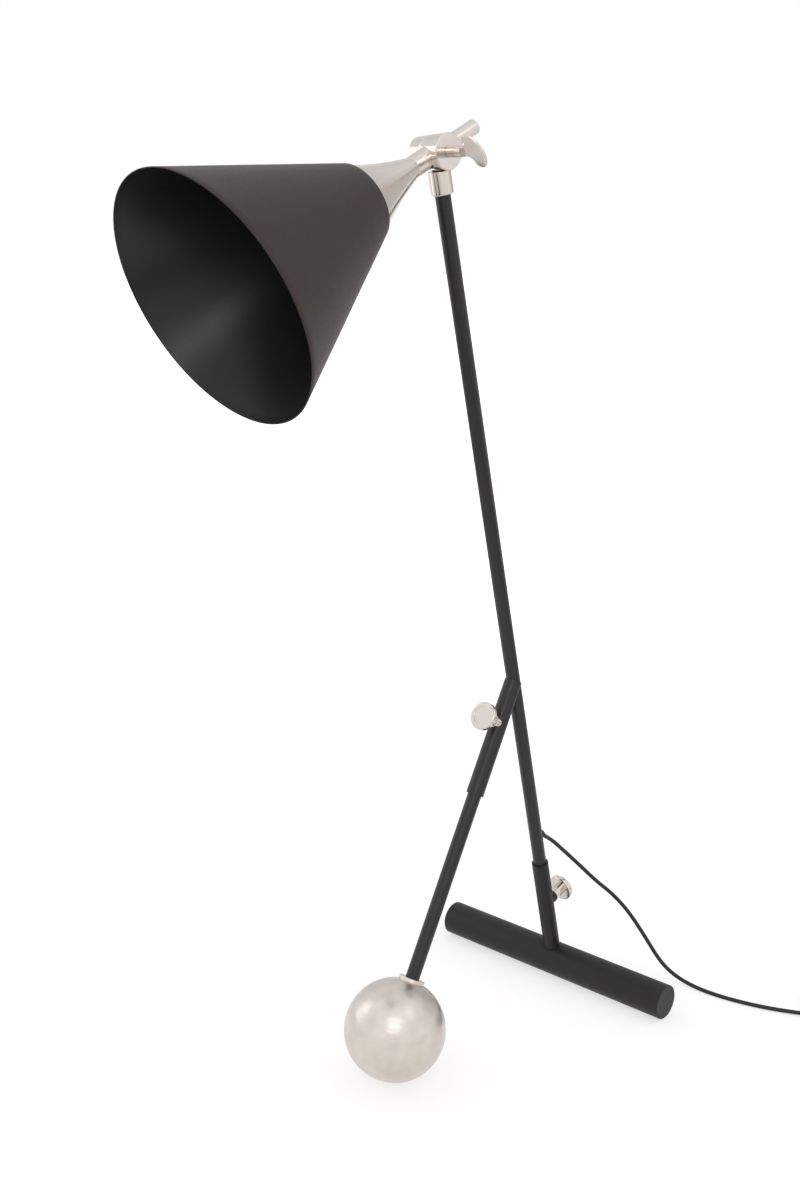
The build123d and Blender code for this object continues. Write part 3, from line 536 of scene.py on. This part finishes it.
class LAMP_OT_socket(Operator):
    """Rolls the lampholder's brass shell with its screw thread, and finishes the holder"""

    bl_idname = "lamp.socket"
    bl_label = "Build the socket"

    def execute(self, context):
        s = context.scene.lamp_socket
        rows = round(s.depth / s.pitch * s.rows)

        def thread(angle):
            sheet = []
            for i in range(rows + 1):
                t = s.mouth - s.depth + s.depth * i / rows
                turn = 2 * math.pi * t / s.pitch - angle
                sheet.append((s.crest - s.rise * (1 - math.cos(turn)) / 2, t, 0))
            return sheet + [(radius - s.wall, t, 0) for radius, t, _ in reversed(sheet)]

        brass = machined("Rolled brass", s.brass, rough=(0.22, 0.36))
        shell = lathe("threaded_shell", thread, *shade_axis(), s.segments, [brass])
        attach(shell, "head")
        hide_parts("socket_shell")
        dress(brass, "socket_contact", "plug_pins")
        dress(moulded("Phenolic resin", s.resin, rough=(0.26, 0.36), ior=1.6), "lampholder")
        return {"FINISHED"}


def coil_turns(cord):
    """Turns of the whole coil: the lower layer, the climb and the upper layer."""
    return cord.turns_in + CLIMB_TURNS + cord.turns_out


def coil_point(cord, turn):
    """Centre line of the coil: inwards on the floor layer, a climb, outwards on top, down to the plug."""
    inner = cord.coil_radius - cord.coil_pitch * cord.turns_in
    climb = (turn - cord.turns_in) / CLIMB_TURNS
    if climb <= 0:
        radius = cord.coil_radius - cord.coil_pitch * turn
    elif climb < 1:
        # A shallow bow inwards keeps the line smooth while it turns from inwards to outwards
        radius = inner + cord.coil_pitch / 2 * (climb * climb - climb)
    else:
        radius = inner + cord.coil_pitch * (turn - cord.turns_in - CLIMB_TURNS)
    left = coil_turns(cord) - turn
    radius += cord.tail_spread * ease(1 - left / SWING_TURNS)
    low = CORD_ROUTE[-1][2]
    drop = low + cord.coil_pitch - cord.tail_height
    height = low + cord.coil_pitch * ease(climb) - drop * ease(1 - left / DROP_TURNS)
    angle = 2 * math.pi * turn
    return Vector((radius * math.sin(angle), -radius * math.cos(angle), height))


def coil_heading(cord, turn):
    """The coil's direction at a turn."""
    step = 1e-4
    return (coil_point(cord, turn + step) - coil_point(cord, turn - step)).normalized()


def cord_points(cord):
    """Control points of the whole cord: the free stretch, the coil and its straight end."""
    route = [Vector(p) for p in CORD_ROUTE]
    way = route[-1] - route[-2]
    start_way = coil_heading(cord, 0)
    turn = Matrix.Rotation(math.atan2(way.y, way.x) - math.atan2(start_way.y, start_way.x), 3, "Z")
    lead = turn @ (coil_point(cord, 0) - start_way * cord.diameter)
    centre = Vector((route[-1].x - lead.x, route[-1].y - lead.y, 0))
    turns = coil_turns(cord)
    count = round(turns * cord.points)
    coil = [centre + turn @ coil_point(cord, turns * i / count) for i in range(count + 1)]
    end = coil[-1] + turn @ coil_heading(cord, turns) * cord.diameter
    return route + coil + [end]


class LAMP_OT_cord(Operator):
    """Lays the mains cord from the gland along the floor to its tied coil and plug"""

    bl_idname = "lamp.cord"
    bl_label = "Lay the cord"

    def execute(self, context):
        c = context.scene.lamp_cord
        points = cord_points(c)
        curve = bpy.data.curves.new("cord_line", "CURVE")
        curve.dimensions = "3D"
        curve.resolution_u = 8
        spline = curve.splines.new("NURBS")
        spline.points.add(len(points) - 1)
        for point, place in zip(spline.points, points):
            point.co = (*place, 1.0)
        spline.order_u = 3
        spline.use_endpoint_u = True
        line = new_object("cord_line", curve)
        context.view_layer.update()
        path = [v.co.copy() for v in bpy.data.meshes.new_from_object(line).vertices]
        curve.bevel_depth = c.diameter / 2
        curve.bevel_resolution = 4
        curve.use_fill_caps = True
        context.view_layer.update()
        mesh = bpy.data.meshes.new_from_object(line.evaluated_get(context.evaluated_depsgraph_get()))
        bpy.data.objects.remove(line)
        cord = new_object("mains_cord", mesh)
        for face in mesh.polygons:
            face.use_smooth = True
        sheath = moulded("Extruded PVC sheath", c.sheath, rough=(0.4, 0.54), ior=1.53, grain_size=1.6 * MM)
        mesh.materials.clear()
        mesh.materials.append(sheath)
        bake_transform(cord)
        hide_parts("cord", "cord_coil")
        pvc = moulded("Moulded PVC", c.plug, rough=(0.36, 0.5), ior=1.53)
        dress(pvc, "plug_body", "cord_tie", "inner_cable")
        nylon = moulded("Black nylon", c.plug, rough=(0.42, 0.56), ior=1.53)
        dress(nylon, "cord_gland", "leg_rod_plug", "swivel_washer")
        return {"FINISHED"}


class LAMP_OT_tubes(Operator):
    """Coats the foot bar, the sleeves, the post and the leg"""

    bl_idname = "lamp.tubes"
    bl_label = "Coat the tubes"

    def execute(self, context):
        f = context.scene.lamp_finish
        bar = powder_coat("Black powder-coated bar", f.bar_coat, rough=(0.38, 0.48), specular=0.26)
        dress(bar, "foot_bar", "lower_sleeve", "lower_sleeve_boss")
        tube = powder_coat("Black powder-coated tube", f.tube_coat, rough=(0.28, 0.37), specular=0.42)
        dress(tube, "post_tube", "leg_sleeve", "leg_rod")
        return {"FINISHED"}


class LAMP_OT_joint(Operator):
    """Finishes the nickel pieces between the post and the shade"""

    bl_idname = "lamp.joint"
    bl_label = "Finish the joint"

    def execute(self, context):
        nickel = context.scene.lamp_finish.nickel
        joint, barrel = joint_axis("shade_tilt")
        post = joint_axis("shade_swivel")[1]
        shade = shade_axis()[1]
        flare = brushed_nickel(
            "Brushed nickel flare", nickel, joint, shade, radius=30 * MM, rough=(0.14, 0.21)
        )
        dress(flare, "shade_flare")
        rod = brushed_nickel(
            "Brushed nickel rod", nickel, joint, shade, radius=13 * MM, rough=(0.12, 0.2)
        )
        dress(rod, "neck_tube", "tail_rod")
        ferrule = brushed_nickel(
            "Polished nickel ferrule", nickel, joint, post, radius=14 * MM, rough=(0.08, 0.14)
        )
        dress(ferrule, "post_ferrule")
        turned = turned_nickel("Turned nickel barrel", nickel, joint, barrel)
        dress(turned, "joint_drum", "rear_cap", "wing_screw")
        return {"FINISHED"}


class LAMP_OT_knobs(Operator):
    """Finishes the two thumbscrews and the leg sleeve's boss"""

    bl_idname = "lamp.knobs"
    bl_label = "Finish the knobs"

    def execute(self, context):
        nickel = context.scene.lamp_finish.nickel
        lower = turned_nickel("Turned nickel lower knob", nickel, *joint_axis("lower_screw_turn"))
        dress(lower, "lower_thumbscrew")
        leg = turned_nickel("Turned nickel leg knob", nickel, *joint_axis("leg_screw_turn"))
        dress(leg, "leg_thumbscrew", "leg_sleeve_boss")
        return {"FINISHED"}


class LAMP_OT_ball(Operator):
    """Finishes the ball foot and its collar"""

    bl_idname = "lamp.ball"
    bl_label = "Finish the ball"

    def execute(self, context):
        dress(buffed_nickel("Hand-buffed nickel", context.scene.lamp_finish.nickel), "ball", "ball_collar")
        return {"FINISHED"}


class LAMP_OT_hardware(Operator):
    """Finishes the studs, nuts, washers and pads inside and under the lamp"""

    bl_idname = "lamp.hardware"
    bl_label = "Finish the hardware"

    def execute(self, context):
        f = context.scene.lamp_finish
        steel = machined("Zinc-plated steel", f.steel, rough=(0.3, 0.42))
        dress(steel, "leg_rod_insert", "leg_stud", "ball_bush", "tilt_core", "holder_nipple")
        dress(steel, "swivel_stud", "stud_washer", "stud_nut")
        dress(moulded("Natural nylon", f.nylon, rough=(0.42, 0.56), ior=1.53), "friction_washer")
        dress(moulded("Rubber", f.rubber, rough=(0.66, 0.8), ior=1.52), "foot_pads")
        return {"FINISHED"}


def studio_paper(stage):
    """Matt white paper sweep, which adds its own white to the picture and to reflections of it."""
    material, tree, place = start_material("Matt white paper")
    path = add_node(tree, "LightPath").outputs
    mirrored = {0: path["Is Glossy Ray"], 1: path["Is Transmission Ray"]}
    metal = add_node(tree, "Math", mirrored, operation="ADD").outputs[0]
    distance = add_node(tree, "VectorMath", {0: place}, operation="LENGTH").outputs["Value"]
    fade = {
        "Value": distance,
        "From Min": stage.glow_start,
        "From Max": stage.glow_end,
        "To Min": stage.glow,
        "To Max": 1.0,
    }
    white = add_node(tree, "MapRange", fade).outputs["Result"]
    picture = add_node(tree, "Math", {0: path["Is Camera Ray"], 1: white}, operation="MULTIPLY").outputs[0]
    # In reflections the paper is bright round the lamp and far out, and duller in a ring between
    aside = add_node(tree, "Math", {0: distance, 1: stage.dull}, operation="SUBTRACT").outputs[0]
    ring = {
        "Value": add_node(tree, "Math", {0: aside}, operation="ABSOLUTE").outputs[0],
        "From Min": RING_CORE * stage.dull_width,
        "From Max": stage.dull_width,
        "To Min": stage.dull_glow,
        "To Max": stage.mirror,
    }
    mirrored_white = add_node(tree, "MapRange", ring).outputs["Result"]
    shown = add_node(tree, "Mix", {"Factor": metal, "A": picture, "B": mirrored_white}).outputs["Result"]
    below = {0: path["Is Diffuse Ray"], 1: stage.bounce, 2: shown}
    added = add_node(tree, "Math", below, operation="MULTIPLY_ADD").outputs[0]
    shader = tree.nodes["Principled BSDF"]
    tree.links.new(added, shader.inputs["Emission Strength"])
    shader.inputs["Emission Color"].default_value = linear(WHITE)
    shader.inputs["Base Color"].default_value = linear(stage.floor)
    shader.inputs["Roughness"].default_value = 1.0
    shader.inputs["Specular IOR Level"].default_value = 0.0
    return material


def studio_world(stage):
    """White backdrop for the picture, an even light on the lamp, and a pale room for metal to mirror."""
    world = bpy.data.worlds.new("Studio")
    world.use_nodes = True
    tree = world.node_tree
    front = -Vector((stage.forward[0], stage.forward[1], 0)).normalized()
    way = add_node(tree, "TexCoord").outputs["Generated"]
    ahead = add_node(tree, "VectorMath", {0: way, 1: front}, operation="DOT_PRODUCT").outputs["Value"]
    walls = {
        "Value": ahead,
        "From Min": WALL_FADE[0],
        "From Max": WALL_FADE[1],
        "To Min": stage.back,
        "To Max": stage.room,
    }
    lit_wall = add_node(tree, "MapRange", walls, interpolation_type="SMOOTHSTEP").outputs["Result"]
    screen_way = Matrix.Rotation(stage.screen_turn, 3, "Z") @ front
    facing = add_node(tree, "VectorMath", {0: way, 1: screen_way}, operation="DOT_PRODUCT").outputs["Value"]
    cover = {
        "Value": facing,
        "From Min": SCREEN_FADE[0],
        "From Max": SCREEN_FADE[1],
        "To Max": stage.screen,
    }
    screened = add_node(tree, "MapRange", cover, interpolation_type="SMOOTHSTEP").outputs["Result"]
    room = add_node(tree, "Math", {0: lit_wall, 1: screened}, operation="SUBTRACT").outputs[0]
    path = add_node(tree, "LightPath").outputs
    mirrored = {0: path["Is Glossy Ray"], 1: path["Is Transmission Ray"]}
    metal = add_node(tree, "Math", mirrored, operation="ADD").outputs[0]
    lit = add_node(tree, "Mix", {"Factor": metal, "A": stage.fill, "B": room}).outputs["Result"]
    level = add_node(tree, "Mix", {"Factor": path["Is Camera Ray"], "A": lit, "B": 1.0}).outputs["Result"]
    tree.nodes["Background"].inputs["Color"].default_value = linear(WHITE)
    tree.links.new(level, tree.nodes["Background"].inputs["Strength"])
    return world


def soft_box(name, stage, turn, lift, distance, size, brightness):
    """Soft box that faces the light centre, turned from the camera's side and lifted by degrees."""
    light = bpy.data.lights.new(name, "AREA")
    light.shape = "RECTANGLE"
    light.size, light.size_y = size
    light.energy = brightness * math.pi * light.size * light.size_y
    front = math.degrees(math.atan2(-stage.forward[1], -stage.forward[0]))
    round_angle = math.radians(front + turn)
    lift_angle = math.radians(lift)
    flat = math.cos(lift_angle)
    way = Vector((flat * math.cos(round_angle), flat * math.sin(round_angle), math.sin(lift_angle)))
    box = new_object(name, light)
    box.location = Vector(stage.centre) + way * distance
    box.rotation_euler = way.to_track_quat("Z", "Y").to_euler()
    box.visible_camera = False


class LAMP_OT_stage(Operator):
    """Lays the white floor and sets the soft boxes and the camera"""

    bl_idname = "lamp.stage"
    bl_label = "Set the studio"

    def execute(self, context):
        s = context.scene.lamp_stage
        scene = context.scene
        scene.view_settings.view_transform = "Standard"
        half = s.floor_size / 2
        corners = [(-half, -half, 0), (half, -half, 0), (half, half, 0), (-half, half, 0)]
        mesh = bpy.data.meshes.new("floor")
        mesh.from_pydata(corners, [], [(0, 1, 2, 3)])
        mesh.materials.append(studio_paper(s))
        floor = new_object("floor", mesh)
        floor.location.z = -FLOOR_GAP
        scene.world = studio_world(s)
        for name, settings in SOFT_BOXES.items():
            soft_box(name, s, **settings)
        camera = bpy.data.cameras.new("camera")
        camera.sensor_width = s.sensor
        camera.lens = s.lens
        eye = new_object("camera", camera)
        eye.location = s.eye
        eye.rotation_euler = Vector(s.forward).to_track_quat("-Z", "Y").to_euler()
        scene.camera = eye
        return {"FINISHED"}


class LAMP_PT_panel(Panel):
    """Sizes, colours and steps of the lamp"""

    bl_idname = "LAMP_PT_panel"
    bl_label = "Floor lamp"
    bl_space_type = "VIEW_3D"
    bl_region_type = "UI"
    bl_category = "Lamp"

    def draw(self, context):
        for group in GROUPS:
            settings = getattr(context.scene, group)
            box = self.layout.box()
            for name in settings.__annotations__:
                box.prop(settings, name)
        for step in STEPS:
            self.layout.operator(step.bl_idname)


GROUPS = {
    "lamp_shade": LampShade,
    "lamp_socket": LampSocket,
    "lamp_cord": LampCord,
    "lamp_finish": LampFinish,
    "lamp_stage": LampStage,
}
STEPS = (
    LAMP_OT_stage,
    LAMP_OT_cord,
    LAMP_OT_shade,
    LAMP_OT_socket,
    LAMP_OT_tubes,
    LAMP_OT_joint,
    LAMP_OT_knobs,
    LAMP_OT_ball,
    LAMP_OT_hardware,
)


def register():
    for group, kind in GROUPS.items():
        bpy.utils.register_class(kind)
        setattr(bpy.types.Scene, group, PointerProperty(type=kind))
    for kind in (*STEPS, LAMP_PT_panel):
        bpy.utils.register_class(kind)


def unregister():
    for kind in (LAMP_PT_panel, *reversed(STEPS)):
        bpy.utils.unregister_class(kind)
    for group, kind in GROUPS.items():
        delattr(bpy.types.Scene, group)
        bpy.utils.unregister_class(kind)


def main():
    register()
    bpy.ops.lamp.stage()
    bpy.ops.lamp.cord()
    bpy.ops.lamp.shade()
    bpy.ops.lamp.socket()
    bpy.ops.lamp.tubes()
    bpy.ops.lamp.joint()
    bpy.ops.lamp.knobs()
    bpy.ops.lamp.ball()
    bpy.ops.lamp.hardware()


if __name__ == "__main__":
    main()
